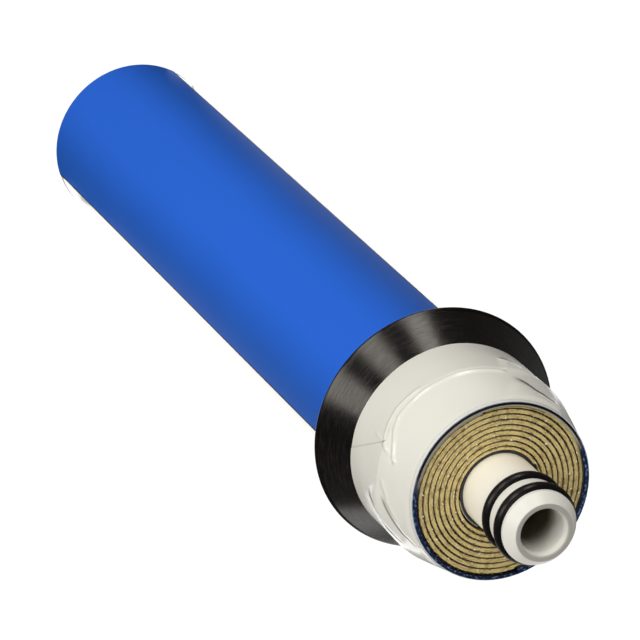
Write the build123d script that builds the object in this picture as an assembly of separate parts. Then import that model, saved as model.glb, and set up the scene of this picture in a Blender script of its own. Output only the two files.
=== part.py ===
"""Spiral-wound reverse-osmosis membrane element, standing on its plain end with the permeate nose up.

A folded membrane leaf, with a feed spacer net inside its fold, is rolled with a permeate carrier
round a perforated tube. Film and tape hold the roll, a flared rubber seal is taped on near the
nose end, and two O-rings sit in grooves on the nose.

Millimetres and degrees. Z is the element's axis. Z = 0 is the plain end that it stands on. Angles
are counter-clockwise from +X as seen from the nose, and the label faces -Y.
"""

from build123d import *
from math import cos, floor, hypot, radians, sin
import os

# Overall sizes
body_length = 254.0
nose_reach = 24.6
tube_diameter = 18.4
tube_wall = 3.7

# Nose end, from the tip back
countersink_depth = 1.6
countersink_width = 0.5
tip_chamfer_length = 2.8
tip_chamfer_width = 2.0
tip_land = 1.0
middle_land = 2.95
groove_side_play = 0.3
o_ring_section = 3.0
o_ring_stand = 1.0
ring_clearance = 0.02

# Perforated part of the tube and the plug in its plain end
hole_diameter = 2.0
hole_stations = 6
hole_margin = 32.0
plug_length = 14.0
plug_seat_step = 0.7
plug_clearance = 0.05
plug_chamfer = 0.8

# Wound sheets
knit_thickness = 0.7
knit_clearance = 0.05
knit_setback = 1.2
membrane_thickness = 0.19
spacer_thickness = 0.47
carrier_thickness = 0.45
net_thickness = 0.6
sheet_clearance = 0.01
first_sheet_clearance = 0.04
roll_turns = 8.0
short_sheet_turns = 7.5
carrier_lead_turns = 0.7
tail_glue_turns = 0.12
sheet_end_gap_turns = 0.004
roll_setback = 0.6
spacer_setback = 0.5
roll_start_angle = 60.0
sleeve_tape_angle = -10.0
sleeve_tape_arc = 50.0
sleeve_tape_thickness = 0.12

# Film, tapes and label round the roll
film_cover = 0.26
wrap_clearance = 0.02
body_tape_thickness = 0.23
body_tape_setback = 0.3
label_thickness = 0.1
label_arc = 138.5
label_centre_angle = -94.75
label_margin = 0.4
label_seal_gap = 1.5

# Brine seal
seal_setback = 14.5
seal_band_length = 16.1
seal_band_thickness = 2.48
seal_heel_length = 4.9
seal_heel_thickness = 0.95
lip_length = 10.0
lip_reach = 5.95
lip_thickness = 1.4
lip_edge_bevel = 0.4
lip_notch_depth = 2.7
lip_notch_width = 0.15
seal_edge_bevel = 0.5

# Tape over the seal's band, and the tape collar that ramps down from it to the rim
seal_tape_thickness = 0.23
lap_thickness = 0.12
lap_tail_angle = -58.5
lap_tail_skew = 17.2
lap_arc = 140.0
collar_setback = 1.3
collar_edge_thickness = 0.2
collar_lap_length = 1.6
collar_lap_thickness = 0.15

# Sizes that follow from those above
tube_radius = tube_diameter / 2
bore_radius = tube_radius - tube_wall
plug_seat_radius = bore_radius + plug_seat_step
tube_length = body_length + nose_reach
groove_floor_radius = tube_radius + o_ring_stand - o_ring_section
groove_width = o_ring_section + 2 * groove_side_play
front_ring_z = tube_length - tip_chamfer_length - tip_land - groove_width / 2
rear_ring_z = front_ring_z - groove_width - middle_land

knit_radius = tube_radius + knit_clearance + knit_thickness
inner_ply_start = knit_radius + first_sheet_clearance
spacer_start = inner_ply_start + membrane_thickness + sheet_clearance
outer_ply_start = spacer_start + spacer_thickness + sheet_clearance
carrier_start = outer_ply_start + membrane_thickness + sheet_clearance
roll_pitch = carrier_start + carrier_thickness + sheet_clearance - inner_ply_start

film_radius = outer_ply_start + net_thickness + roll_turns * roll_pitch + film_cover
body_tape_inner_radius = film_radius + wrap_clearance
body_radius = body_tape_inner_radius + body_tape_thickness
over_body_radius = body_radius + wrap_clearance

seal_front_z = body_length - seal_setback
lip_root_z = seal_front_z - seal_band_length
seal_rear_z = lip_root_z - seal_heel_length
seal_band_radius = over_body_radius + seal_band_thickness
seal_tape_inner_radius = seal_band_radius + wrap_clearance
seal_tape_radius = seal_tape_inner_radius + seal_tape_thickness


def half_turn(start, index, low, high):
    """One arc of a sheet's spiral: half-turn number index, from fraction low to high of it.

    Half-turns are true half circles about two centres, a quarter of a pitch each side of the
    axis, so that every sheet is a smooth run of arcs and neighbours stay parallel.
    start is the sheet face's distance from the axis where the roll begins.
    """
    side = 1 if index % 2 else -1
    radius = start + roll_pitch / 4 + index * roll_pitch / 2
    first_angle = 180 * (index % 2) + 180 * low
    return CenterArc((side * roll_pitch / 4, 0), radius, first_angle, 180 * (high - low))


def spiral(start, first_turn, last_turn):
    """The arcs of one face of a sheet between two numbers of turns, in order."""
    arcs = []
    index = floor(2 * first_turn)
    while index < 2 * last_turn:
        low = max(2 * first_turn - index, 0)
        high = min(2 * last_turn - index, 1)
        arcs.append(half_turn(start, index, low, high))
        index += 1
    return arcs


def roll_out(section, low_z, high_z):
    """A section of the roll made as long as the gap between two heights, turned to its place."""
    sheet = extrude(section, high_z - low_z)
    return Pos(Z=low_z) * Rot(Z=roll_start_angle) * sheet


def sheet_section(start, thickness, first_turn, last_turn):
    """The cut end of one wound sheet: two parallel spirals closed by a line at each end."""
    inner = spiral(start, first_turn, last_turn)
    outer = spiral(start + thickness, first_turn, last_turn)
    head = Line(inner[0] @ 0, outer[0] @ 0)
    tail = Line(inner[-1] @ 1, outer[-1] @ 1)
    return make_face(inner + outer + [head, tail])


def ring(inner_radius, outer_radius, low_z, high_z):
    """A plain tube about the axis."""
    section = Circle(outer_radius) - Circle(inner_radius)
    return Pos(Z=low_z) * extrude(section, high_z - low_z)


def turned(points):
    """A solid turned about the axis from the corners of its half section, as (radius, height)."""
    corners = [(radius, 0, height) for radius, height in points]
    return revolve(make_face(Polyline(*corners, close=True)), Axis.Z)


def sector(inner_radius, outer_radius, low_z, high_z, first_angle, arc):
    """Part of a tube that spans arc degrees from first_angle."""
    corners = [
        (inner_radius, 0, low_z),
        (outer_radius, 0, low_z),
        (outer_radius, 0, high_z),
        (inner_radius, 0, high_z),
    ]
    wall = revolve(make_face(Polyline(*corners, close=True)), Axis.Z, revolution_arc=arc)
    return Rot(Z=first_angle) * wall


def make_permeate_tube():
    """Moulded tube: bore with a seat for the plug, cross holes, grooved nose with a bevelled tip."""
    bore_mouth = bore_radius + countersink_width
    tip_radius = tube_radius - tip_chamfer_width
    seat_depth = plug_length + plug_clearance
    profile = [
        (bore_radius, seat_depth),
        (plug_seat_radius, seat_depth),
        (plug_seat_radius, 0),
        (tube_radius, 0),
    ]
    for ring_z in (rear_ring_z, front_ring_z):
        profile += [
            (tube_radius, ring_z - groove_width / 2),
            (groove_floor_radius, ring_z - groove_width / 2),
            (groove_floor_radius, ring_z + groove_width / 2),
            (tube_radius, ring_z + groove_width / 2),
        ]
    profile += [
        (tube_radius, tube_length - tip_chamfer_length),
        (tip_radius, tube_length),
        (bore_mouth, tube_length),
        (bore_radius, tube_length - countersink_depth),
    ]
    tube = turned(profile)
    pitch = (body_length - 2 * hole_margin) / (hole_stations - 1)
    for station in range(hole_stations):
        drill = Cylinder(hole_diameter / 2, 2 * tube_diameter, rotation=(90, 0, 90 * (station % 2)))
        tube -= Pos(Z=hole_margin + station * pitch) * drill
    return tube


def make_tube_plug():
    """Plug pressed into its seat in the plain end of the tube, its inner edge bevelled."""
    radius = plug_seat_radius - plug_clearance
    return turned(
        [
            (0, 0),
            (radius, 0),
            (radius, plug_length - plug_chamfer),
            (radius - plug_chamfer, plug_length),
            (0, plug_length),
        ]
    )


def make_o_ring(ring_z):
    """Round-section ring stretched into a groove of the nose."""
    section_radius = o_ring_section / 2
    return Pos(Z=ring_z) * Torus(groove_floor_radius + ring_clearance + section_radius, section_radius)


def make_core_knit():
    """Porous knitted sleeve between the tube and the roll, which lets permeate reach the holes."""
    return ring(tube_radius + knit_clearance, knit_radius, knit_setback, body_length - knit_setback)


def make_sleeve_tape():
    """Strip of tape along the sleeve's edge, in the crescent gap between the sleeve and the roll."""
    inner_radius = knit_radius + sheet_clearance
    return sector(
        inner_radius,
        inner_radius + sleeve_tape_thickness,
        knit_setback,
        body_length - knit_setback,
        sleeve_tape_angle - sleeve_tape_arc / 2,
        sleeve_tape_arc,
    )


def make_membrane_leaf():
    """Membrane sheet folded round the feed spacer: two plies joined by a round fold at the core."""
    long_turns = roll_turns - sheet_end_gap_turns
    short_turns = short_sheet_turns - sheet_end_gap_turns
    inner_ply_outside = inner_ply_start + membrane_thickness
    outer_ply_outside = outer_ply_start + membrane_thickness
    faces = [
        spiral(inner_ply_start, 0, long_turns),
        spiral(inner_ply_outside, 0, long_turns),
        spiral(outer_ply_start, 0, short_turns),
        spiral(outer_ply_outside, 0, short_turns),
    ]
    inner_tail = Line(faces[0][-1] @ 1, faces[1][-1] @ 1)
    outer_tail = Line(faces[2][-1] @ 1, faces[3][-1] @ 1)
    fold_centre = ((inner_ply_start + outer_ply_outside) / 2, 0)
    fold_outside = CenterArc(fold_centre, (outer_ply_outside - inner_ply_start) / 2, 180, 180)
    fold_inside = CenterArc(fold_centre, (outer_ply_start - inner_ply_outside) / 2, 180, 180)
    section = make_face(sum(faces, []) + [inner_tail, outer_tail, fold_outside, fold_inside])
    return roll_out(section, roll_setback, body_length - roll_setback)


def make_feed_spacer():
    """Feed spacer net inside the leaf's fold, as a plain sheet, a little short of the leaf's edges."""
    section = sheet_section(spacer_start, spacer_thickness, 0, roll_turns - sheet_end_gap_turns)
    setback = roll_setback + spacer_setback
    return roll_out(section, setback, body_length - setback)


def make_permeate_carrier():
    """Knitted permeate carrier, its edges soaked with glue; it leaves the core ahead of the leaf."""
    last_turn = short_sheet_turns - tail_glue_turns - sheet_end_gap_turns
    section = sheet_section(carrier_start, carrier_thickness, -carrier_lead_turns, last_turn)
    return roll_out(section, roll_setback, body_length - roll_setback)


def make_tail_glue():
    """Line of glue along the leaf's tail, which closes the envelope that holds the carrier."""
    first_turn = short_sheet_turns - tail_glue_turns
    last_turn = short_sheet_turns - sheet_end_gap_turns
    section = sheet_section(carrier_start, carrier_thickness, first_turn, last_turn)
    return roll_out(section, roll_setback, body_length - roll_setback)


def make_tail_net():
    """Last stretch of net, which lies outside the roll's last half turn, under the film."""
    first_turn = short_sheet_turns + sheet_end_gap_turns
    last_turn = roll_turns - sheet_end_gap_turns
    section = sheet_section(outer_ply_start, net_thickness, first_turn, last_turn)
    return roll_out(section, roll_setback / 2, body_length - roll_setback / 2)


def make_film_wrap():
    """Dark film wound over the roll: round outside, and inside it follows the roll's last turn."""
    carrier_outside = carrier_start + carrier_thickness + sheet_clearance
    net_outside = outer_ply_start + net_thickness + sheet_clearance
    over_carrier = spiral(carrier_outside, roll_turns - 1, short_sheet_turns)
    over_net = spiral(net_outside, short_sheet_turns, roll_turns)
    step = Line(over_carrier[-1] @ 1, over_net[0] @ 0)
    tail = Line(over_net[-1] @ 1, over_carrier[0] @ 0)
    hollow = make_face(over_carrier + over_net + [step, tail])
    return roll_out(Circle(film_radius) - hollow, 0, body_length)


def make_body_tape():
    """White tape over the whole body."""
    return ring(body_tape_inner_radius, body_radius, 0, body_length - body_tape_setback)


def make_label_film():
    """Plain blue film on the side that faces -Y, from the plain end to just short of the seal."""
    return sector(
        over_body_radius,
        over_body_radius + label_thickness,
        label_margin,
        seal_rear_z - label_seal_gap,
        label_centre_angle - label_arc / 2,
        label_arc,
    )


def make_brine_seal():
    """Moulded rubber seal: a flat band, then a thin lip that flares out towards the plain end."""
    slope = hypot(lip_length, lip_reach)
    heel_radius = over_body_radius + seal_heel_thickness
    notch_z = lip_root_z - lip_notch_depth

    def on_lip(run, depth):
        """Half-section point at a distance down the lip's outer face and a depth behind it."""
        radius = seal_band_radius + (run * lip_reach - depth * lip_length) / slope
        height = lip_root_z - (run * lip_length + depth * lip_reach) / slope
        return radius, height

    return turned(
        [
            (over_body_radius, seal_front_z),
            (seal_band_radius - seal_edge_bevel, seal_front_z),
            (seal_band_radius, seal_front_z - seal_edge_bevel),
            (seal_band_radius, lip_root_z),
            on_lip(slope - lip_edge_bevel, 0),
            on_lip(slope, lip_edge_bevel),
            on_lip(slope, lip_thickness - lip_edge_bevel),
            on_lip(slope - lip_edge_bevel, lip_thickness),
            (heel_radius + lip_notch_width, notch_z),
            (heel_radius, notch_z),
            (heel_radius, seal_rear_z),
            (over_body_radius, seal_rear_z),
        ]
    )


def make_seal_tape():
    """White tape round the seal's band, one full turn and a lap that ends on a skewed cut."""
    tape = ring(seal_tape_inner_radius, seal_tape_radius, lip_root_z, seal_front_z)
    lap_length = seal_band_length - collar_lap_length - wrap_clearance
    lap = sector(
        seal_tape_radius,
        seal_tape_radius + lap_thickness,
        lip_root_z,
        lip_root_z + lap_length,
        lap_tail_angle - lap_tail_skew / 2,
        lap_arc,
    )
    skew_run = 2 * seal_tape_radius * sin(radians(lap_tail_skew / 2))
    cut_origin = (
        seal_tape_radius * cos(radians(lap_tail_angle)),
        seal_tape_radius * sin(radians(lap_tail_angle)),
        lip_root_z + lap_length / 2,
    )
    cut_normal = (
        -sin(radians(lap_tail_angle)) * lap_length,
        cos(radians(lap_tail_angle)) * lap_length,
        skew_run,
    )
    cut = Plane(origin=cut_origin, z_dir=cut_normal)
    return tape + split(lap, bisect_by=cut, keep=Keep.TOP)


def make_collar_tape():
    """White tape built up into a ramp from the rim to the seal's band, its edge lapped over it."""
    front_z = body_length - collar_setback
    lap_inside = seal_tape_radius + wrap_clearance
    lap_outside = lap_inside + collar_lap_thickness
    rear_z = seal_front_z + wrap_clearance
    return turned(
        [
            (over_body_radius, front_z),
            (over_body_radius + collar_edge_thickness, front_z),
            (lap_outside, rear_z),
            (lap_outside, seal_front_z - collar_lap_length),
            (lap_inside, seal_front_z - collar_lap_length),
            (lap_inside, rear_z),
            (over_body_radius, rear_z),
        ]
    )


pieces = {
    "permeate_tube": make_permeate_tube(),
    "tube_plug": make_tube_plug(),
    "front_o_ring": make_o_ring(front_ring_z),
    "rear_o_ring": make_o_ring(rear_ring_z),
    "core_knit": make_core_knit(),
    "sleeve_tape": make_sleeve_tape(),
    "membrane_leaf": make_membrane_leaf(),
    "feed_spacer": make_feed_spacer(),
    "permeate_carrier": make_permeate_carrier(),
    "tail_glue": make_tail_glue(),
    "tail_net": make_tail_net(),
    "film_wrap": make_film_wrap(),
    "body_tape": make_body_tape(),
    "label_film": make_label_film(),
    "brine_seal": make_brine_seal(),
    "seal_tape": make_seal_tape(),
    "collar_tape": make_collar_tape(),
}

os.makedirs("parts", exist_ok=True)
for name, piece in pieces.items():
    export_step(piece, f"parts/{name}.step")
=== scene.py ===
"""Looks of a spiral-wound reverse-osmosis element that stands on its plain end, nose up.

The scene is in metres, in the frame of the solid model: Z is the element's axis, Z = 0 its plain
end, and the blue film faces -Y. A bearing is an angle about the axis, in degrees, that is 0 at -Y
and grows towards +X. The pieces' sizes are in millimetres, and those in the finishes in metres.
"""

import logging
import math
import random
from dataclasses import dataclass, field
from enum import Enum
from typing import Sequence

import bmesh
import bpy
from mathutils import Matrix, Vector, noise

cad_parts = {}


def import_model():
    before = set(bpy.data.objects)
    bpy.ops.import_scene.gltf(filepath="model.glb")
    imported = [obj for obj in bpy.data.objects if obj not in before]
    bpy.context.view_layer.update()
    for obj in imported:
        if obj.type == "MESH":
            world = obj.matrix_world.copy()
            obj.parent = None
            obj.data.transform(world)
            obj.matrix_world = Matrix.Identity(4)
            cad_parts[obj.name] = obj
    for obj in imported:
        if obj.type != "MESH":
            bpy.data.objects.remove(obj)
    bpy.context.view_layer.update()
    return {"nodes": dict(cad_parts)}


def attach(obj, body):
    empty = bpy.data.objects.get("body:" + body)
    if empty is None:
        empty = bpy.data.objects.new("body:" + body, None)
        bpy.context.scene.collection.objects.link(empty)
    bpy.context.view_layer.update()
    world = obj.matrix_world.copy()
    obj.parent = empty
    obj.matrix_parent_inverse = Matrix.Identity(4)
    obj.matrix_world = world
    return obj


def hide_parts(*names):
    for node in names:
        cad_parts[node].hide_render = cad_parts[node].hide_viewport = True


LOG = logging.getLogger("membrane_element")

BODY = "root"
MM = 0.001
SHADE_AND_GRIME = "shade_and_grime"
SHARP_ANGLE = 35.0
THIN_SHARP_ANGLE = 50.0
ROUND_STEPS = 6

Colour = tuple[float, float, float]
Point2 = tuple[float, float]
Sides = list[tuple[Vector, Vector]]
Socket = bpy.types.NodeSocket
Value = Socket | float

WHITE: Colour = (1.0, 1.0, 1.0)


def bearing_point(radius: float, bearing: float, height: float) -> Vector:
    """Point at a radius, a bearing in degrees and a height."""
    turn = math.radians(bearing)
    return Vector((radius * math.sin(turn), -radius * math.cos(turn), height))


def smooth_step(value: float) -> float:
    """Smooth rise from 0 to 1 as value goes from 0 to 1."""
    clipped = min(max(value, 0.0), 1.0)
    return clipped * clipped * (3 - 2 * clipped)


def wobble(x: float, y: float, z: float, seed: float) -> float:
    """Smooth repeatable noise between about -1 and 1 at a point."""
    return noise.noise(Vector((x + seed, y - seed, z + 2 * seed)))


def add_piece(name: str, shell: bmesh.types.BMesh, sharp_angle: float) -> bpy.types.Object:
    """Makes a smooth-shaded piece that rides on the object's one body.

    Args:
        name: The piece's name.
        shell: Its shape, which is freed.
        sharp_angle: Edges that turn by more than this many degrees stay sharp.

    Returns:
        The new object.
    """
    mesh = bpy.data.meshes.new(name)
    shell.to_mesh(mesh)
    shell.free()
    mesh.polygons.foreach_set("use_smooth", [True] * len(mesh.polygons))
    mesh.set_sharp_from_angle(angle=math.radians(sharp_angle))
    piece = bpy.data.objects.new(name, mesh)
    bpy.context.scene.collection.objects.link(piece)
    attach(piece, BODY)
    return piece


def make_piece(name: str, points: Sequence[Vector], faces: Sequence[Sequence[int]],
               sharp_angle: float = SHARP_ANGLE) -> bpy.types.Object:
    """Makes a piece from its corners and faces.

    Args:
        name: The piece's name.
        points: Corners in the model's frame.
        faces: Corner numbers of each face.
        sharp_angle: Edges that turn by more than this many degrees stay sharp.

    Returns:
        The new object.
    """
    draft = bpy.data.meshes.new("draft")
    draft.from_pydata([tuple(point) for point in points], [], faces)
    shell = bmesh.new()
    shell.from_mesh(draft)
    bpy.data.meshes.remove(draft)
    bmesh.ops.recalc_face_normals(shell, faces=shell.faces)
    return add_piece(name, shell, sharp_angle)


def strip_faces(rows: int, count: int, closed: bool) -> list[tuple[int, ...]]:
    """Faces that join neighbouring rows of points, where each row is a closed loop.

    Args:
        rows: Number of rows.
        count: Points in each row.
        closed: Whether the last row joins the first.

    Returns:
        The corner numbers of each face.
    """
    faces = []
    for row in range(rows if closed else rows - 1):
        here, there = row * count, (row + 1) % rows * count
        for corner in range(count):
            after = (corner + 1) % count
            faces.append((here + corner, here + after, there + after, there + corner))
    return faces


def lathe(name: str, outline: Sequence[Point2], segments: int) -> bpy.types.Object:
    """Turns a closed half section about the axis.

    Args:
        name: The piece's name.
        outline: Corners as (radius, height), in metres, in order round the section.
        segments: Steps in a full turn.

    Returns:
        The turned piece.
    """
    points = [
        bearing_point(radius, 360 * step / segments, height)
        for step in range(segments) for radius, height in outline
    ]
    return make_piece(name, points, strip_faces(segments, len(outline), True))


@dataclass(frozen=True)
class Corner:
    """Corner of a half section, in millimetres, with the radius of the round on it."""

    radius: float
    height: float
    fillet: float = 0.0

    def point(self) -> Vector:
        """The corner as a point of the plane of radius and height, in metres."""
        return Vector((self.radius, self.height)) * MM


def rounded(corners: Sequence[Corner]) -> list[Point2]:
    """Rounds the corners of a closed half section.

    Args:
        corners: The section's corners in order.

    Returns:
        The rounded outline as (radius, height), in metres.
    """
    outline: list[Point2] = []
    for index, corner in enumerate(corners):
        here = corner.point()
        if corner.fillet <= 0:
            outline.append((here.x, here.y))
            continue
        back = (corners[index - 1].point() - here).normalized()
        ahead = (corners[(index + 1) % len(corners)].point() - here).normalized()
        half = back.angle(ahead) / 2
        reach = corner.fillet * MM / math.tan(half)
        centre = here + (back + ahead).normalized() * (corner.fillet * MM / math.sin(half))
        start, end = here + back * reach - centre, here + ahead * reach - centre
        sweep = start.angle_signed(end)
        for step in range(ROUND_STEPS + 1):
            spoke = start.copy()
            spoke.rotate(Matrix.Rotation(-sweep * step / ROUND_STEPS, 2))
            outline.append(((centre + spoke).x, (centre + spoke).y))
    return outline


class Ray(Enum):
    """Kinds of ray that the floor and the surround tell apart."""

    CAMERA = "Is Camera Ray"
    TRANSMISSION = "Is Transmission Ray"
    GLOSSY = "Is Glossy Ray"


class NodeWork:
    """Short calls for the nodes that the materials and the surround share."""

    def __init__(self, tree: bpy.types.NodeTree) -> None:
        """Starts work on a node tree."""
        self.tree = tree

    def feed(self, socket: Socket, value: Value | Colour) -> None:
        """Links a socket to a node's output, or sets it to a constant.

        Args:
            socket: The input socket.
            value: What it gets.
        """
        if isinstance(value, bpy.types.NodeSocket):
            self.tree.links.new(value, socket)
        elif isinstance(value, tuple) and len(socket.default_value) == 4:
            socket.default_value = (*value, 1.0)
        else:
            socket.default_value = value

    def maths(self, operation: str, *values: Value, clamp: bool = False) -> Socket:
        """Adds a maths node.

        Args:
            operation: The node's operation.
            values: Up to three values that it works on.
            clamp: Whether its result is held between 0 and 1.

        Returns:
            The result.
        """
        node = self.tree.nodes.new("ShaderNodeMath")
        node.operation = operation
        node.use_clamp = clamp
        for socket, value in zip(node.inputs, values):
            self.feed(socket, value)
        return node.outputs[0]

    def plus(self, first: Value, second: Value) -> Socket:
        """Sum of two values."""
        return self.maths("ADD", first, second)

    def minus(self, first: Value, second: Value) -> Socket:
        """Difference of two values."""
        return self.maths("SUBTRACT", first, second)

    def times(self, first: Value, second: Value) -> Socket:
        """Product of two values."""
        return self.maths("MULTIPLY", first, second)

    def ray(self, kind: Ray) -> Socket:
        """1 for rays of a kind and 0 for the rest."""
        return self.tree.nodes.new("ShaderNodeLightPath").outputs[kind.value]

    def seen(self) -> Socket:
        """1 where the camera sees the surface, straight or through glass."""
        return self.maths("MAXIMUM", self.ray(Ray.CAMERA), self.ray(Ray.TRANSMISSION))


class Sketch(NodeWork):
    """A material's nodes, with the calls that only the finishes use."""

    def __init__(self, name: str) -> None:
        """Starts a material that has only its shader and output.

        Args:
            name: The material's name.
        """
        self.material = bpy.data.materials.new(name)
        self.material.use_nodes = True
        super().__init__(self.material.node_tree)
        self.shader = self.tree.nodes["Principled BSDF"]
        self.place: Socket = self.tree.nodes.new("ShaderNodeTexCoord").outputs["Object"]

    def set(self, **values: Value | Colour) -> None:
        """Feeds the shader's own sockets.

        Args:
            values: What each gets, under its name with underscores for spaces.
        """
        for name, value in values.items():
            title = name.replace("_", " ").title().replace("Ior", "IOR")
            self.feed(self.shader.inputs[title], value)

    def attribute(self, name: str) -> Socket:
        """Number that a piece's mesh holds at each corner, or 0 where it holds none.

        Args:
            name: The attribute's name.

        Returns:
            The number.
        """
        node = self.tree.nodes.new("ShaderNodeAttribute")
        node.attribute_name = name
        return node.outputs["Fac"]

    def axes(self) -> tuple[Socket, Socket, Socket]:
        """Splits the shaded point.

        Returns:
            Its X, Y and Z.
        """
        node = self.tree.nodes.new("ShaderNodeSeparateXYZ")
        self.feed(node.inputs[0], self.place)
        return node.outputs[0], node.outputs[1], node.outputs[2]

    def vector(self, x: Value, y: Value, z: Value) -> Socket:
        """Joins three values to a vector.

        Args:
            x: The first value.
            y: The second value.
            z: The third value.

        Returns:
            The vector.
        """
        node = self.tree.nodes.new("ShaderNodeCombineXYZ")
        for socket, value in zip(node.inputs, (x, y, z)):
            self.feed(socket, value)
        return node.outputs[0]

    def length(self, x: Value, y: Value) -> Socket:
        """Length of a flat vector."""
        return self.maths("SQRT", self.plus(self.times(x, x), self.times(y, y)))

    def wrapped(self) -> tuple[Socket, Socket, Socket]:
        """Places the shaded point about the axis.

        Returns:
            Its bearing in radians, its radius and its height.
        """
        x, y, height = self.axes()
        bearing = self.maths("ARCTAN2", x, self.times(y, -1.0))
        return bearing, self.length(x, y), height

    def noise(self, vector: Socket, scale: float, detail: float = 2.0,
              roughness: float = 0.5) -> Socket:
        """Adds a noise texture.

        Args:
            vector: Where it is read.
            scale: How many cells it has to a metre.
            detail: How many finer layers it has.
            roughness: How strong those are.

        Returns:
            Its value, between 0 and 1.
        """
        node = self.tree.nodes.new("ShaderNodeTexNoise")
        self.feed(node.inputs["Vector"], vector)
        node.inputs["Scale"].default_value = scale
        node.inputs["Detail"].default_value = detail
        node.inputs["Roughness"].default_value = roughness
        return node.outputs["Fac"]

    def sway(self, value: Socket, reach: float) -> Socket:
        """A noise that swings about zero, by half of reach each way."""
        return self.times(self.minus(value, 0.5), reach)

    def span(self, value: Socket, low: float, high: float, new_low: float = 0.0,
             new_high: float = 1.0) -> Socket:
        """Carries a value smoothly from one range to another and holds it at the ends.

        Args:
            value: The value.
            low: Start of its range.
            high: End of its range.
            new_low: Start of the new range.
            new_high: End of the new range.

        Returns:
            The carried value.
        """
        node = self.tree.nodes.new("ShaderNodeMapRange")
        node.interpolation_type = "SMOOTHSTEP"
        for socket, number in zip(node.inputs, (value, low, high, new_low, new_high)):
            self.feed(socket, number)
        return node.outputs[0]

    def mix(self, share: Value, first: Socket | Colour, second: Socket | Colour) -> Socket:
        """Mixes two colours.

        Args:
            share: How much of the second there is.
            first: The first colour.
            second: The second colour.

        Returns:
            The mixed colour.
        """
        node = self.tree.nodes.new("ShaderNodeMix")
        node.data_type = "RGBA"
        self.feed(node.inputs["Factor"], share)
        self.feed(node.inputs[6], first)
        self.feed(node.inputs[7], second)
        return node.outputs[2]

    def bump(self, height: Socket, distance: float) -> None:
        """Bumps the surface.

        Args:
            height: Its height, between 0 and 1.
            distance: What a height of 1 stands for, in metres.
        """
        node = self.tree.nodes.new("ShaderNodeBump")
        node.inputs["Distance"].default_value = distance
        self.feed(node.inputs["Height"], height)
        self.feed(self.shader.inputs["Normal"], node.outputs[0])


@dataclass(frozen=True)
class Finish:
    """A surface finish: its name, its main colour and how dull it is."""

    name: str
    colour: Colour
    roughness: float = 0.5
    specular: float = 0.5

    def build(self) -> bpy.types.Material:
        """Makes the finish's material, or finds it if it was made before.

        Returns:
            The material.
        """
        title = f"{self.name}_finish"
        found = bpy.data.materials.get(title)
        if found:
            return found
        sketch = Sketch(title)
        sketch.set(base_color=self.colour, roughness=self.roughness,
                   specular_ior_level=self.specular)
        self.draw(sketch)
        return sketch.material

    def draw(self, sketch: Sketch) -> None:
        """Adds the finish's own detail to its material."""

    def dress(self, *pieces: bpy.types.Object) -> None:
        """Puts the finish on pieces in place of what they have.

        Args:
            pieces: The pieces.
        """
        for piece in pieces:
            piece.data.materials.clear()
            piece.data.materials.append(self.build())


@dataclass(frozen=True)
class TapeFinish(Finish):
    """Glossy plastic tape: faint clouds of a warmer tint, painted shade in its creases with dark marks
    along its seam, and a painted highlight at its cut front edge.

    The white tape's roughness stays above 0.274. Where it crosses that level the renderer's
    denoiser changes its guide, which draws faint outlines on the tape.
    """

    shade: Colour = (0.84, 0.815, 0.71)
    # The dark colour is painted shade in the creases, and the real dark marks along the seam.
    shade_and_grime: Colour = (0.07, 0.06, 0.05)
    # The pale edge colour is a painted highlight, standing in for light glowing through the tape's cut
    # front edge.
    edge: Colour = (0.97, 0.98, 1.0)
    highlight_height: float = 0.2533
    highlight_blur: float = 0.0002
    cloud_scale: float = 35.0
    dulling: float = 0.02
    coat: float = 0.5
    coat_roughness: float = 0.1

    def draw(self, sketch: Sketch) -> None:
        """Draws the clouds, the painted highlight at the rim's cut edge, the painted crease shade with
        the seam's marks, and the change in shine.

        Args:
            sketch: The material.
        """
        _, _, height = sketch.axes()
        clouds = sketch.noise(sketch.place, self.cloud_scale, 1.0)
        clean = sketch.mix(sketch.span(clouds, 0.0, 1.0), self.colour, self.shade)
        # Painted highlight: the tape turns pale above the height of its front edge.
        cut = sketch.span(height, self.highlight_height - self.highlight_blur,
                          self.highlight_height + self.highlight_blur)
        highlighted = sketch.mix(cut, clean, self.edge)
        # Painted shade darkens the creases, and the seam takes its dark marks, from what the mesh
        # holds.
        sketch.set(
            base_color=sketch.mix(sketch.attribute(SHADE_AND_GRIME), highlighted, self.shade_and_grime),
            roughness=sketch.span(clouds, 0.0, 1.0, self.roughness, self.roughness + self.dulling),
            coat_weight=self.coat,
            coat_roughness=self.coat_roughness,
        )


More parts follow.
